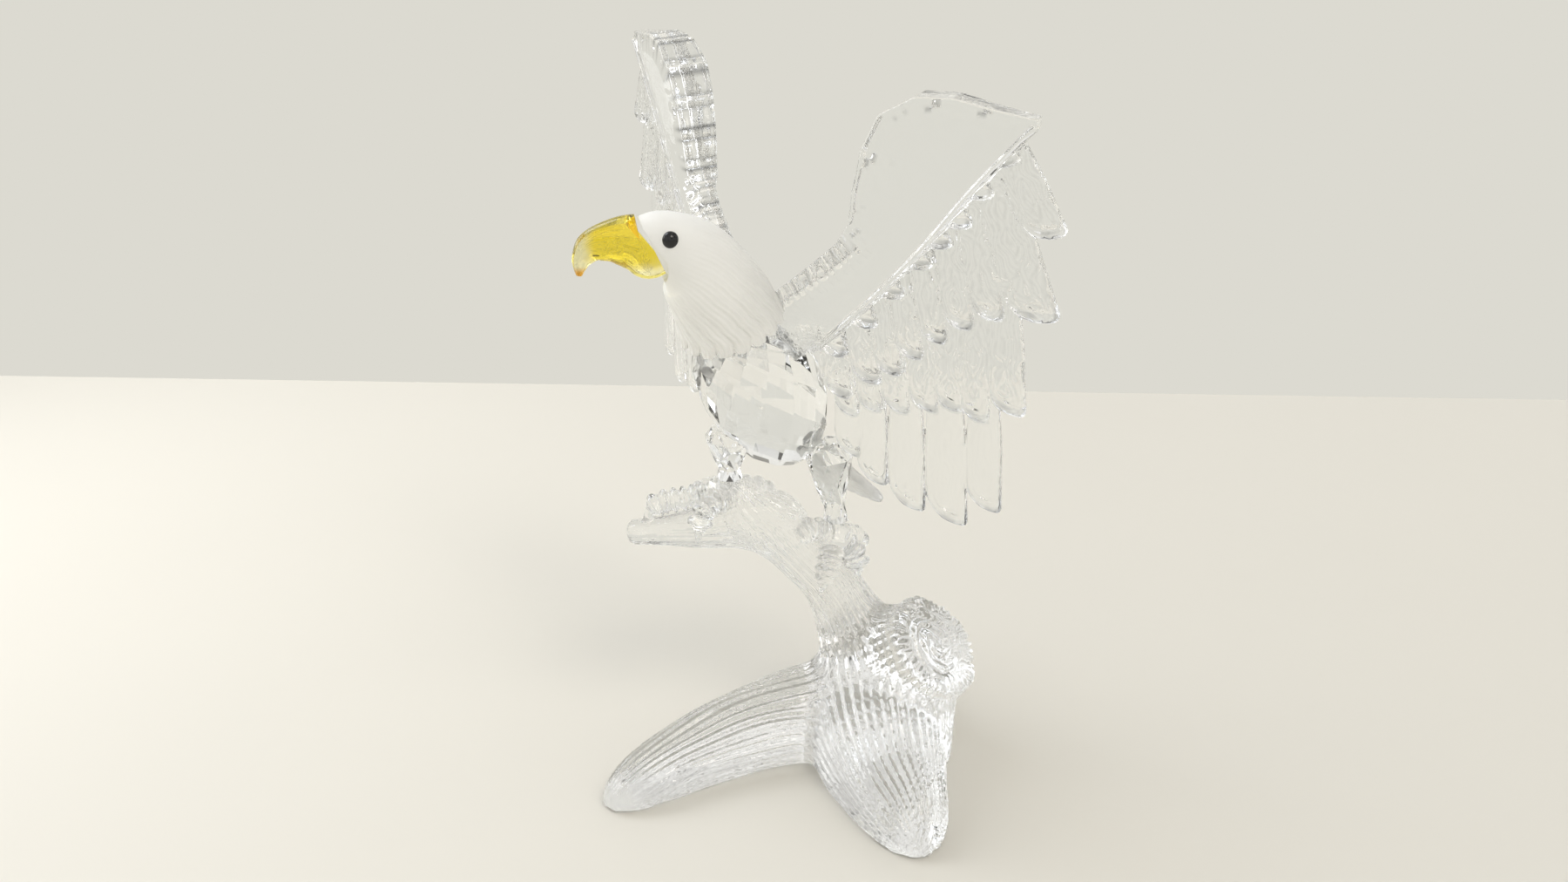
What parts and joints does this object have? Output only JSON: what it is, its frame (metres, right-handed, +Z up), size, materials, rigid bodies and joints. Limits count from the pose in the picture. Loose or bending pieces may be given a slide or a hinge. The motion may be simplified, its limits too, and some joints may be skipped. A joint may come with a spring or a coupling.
{
  "type": "crystal eagle figurine",
  "caption": "Glass eagle with raised wings, frosted head and yellow beak, perched on a clear moulded branch stand.",
  "frame": {"origin": "on the flat underside of the branch stand, under the middle of its trunk", "axes": "+Z up; -Y towards the viewer, who sees the bird looking to the left; +X to the viewer's right"},
  "size_m": [0.0733, 0.0868, 0.1208],
  "materials": {
    "clear_crystal": "clear, polished",
    "frosted_crystal": "frosted, satin",
    "amber_crystal": "clear yellow, polished",
    "jet_crystal": "black, polished"
  },
  "bodies": {
    "root": {"branch_base": "clear_crystal", "body": "clear_crystal", "head": "frosted_crystal", "beak": "amber_crystal", "left_eye": "jet_crystal", "right_eye": "jet_crystal", "left_wing": "clear_crystal", "right_wing": "clear_crystal", "left_leg": "clear_crystal", "right_leg": "clear_crystal", "tail": "frosted_crystal"}
  },
  "joints": []
}
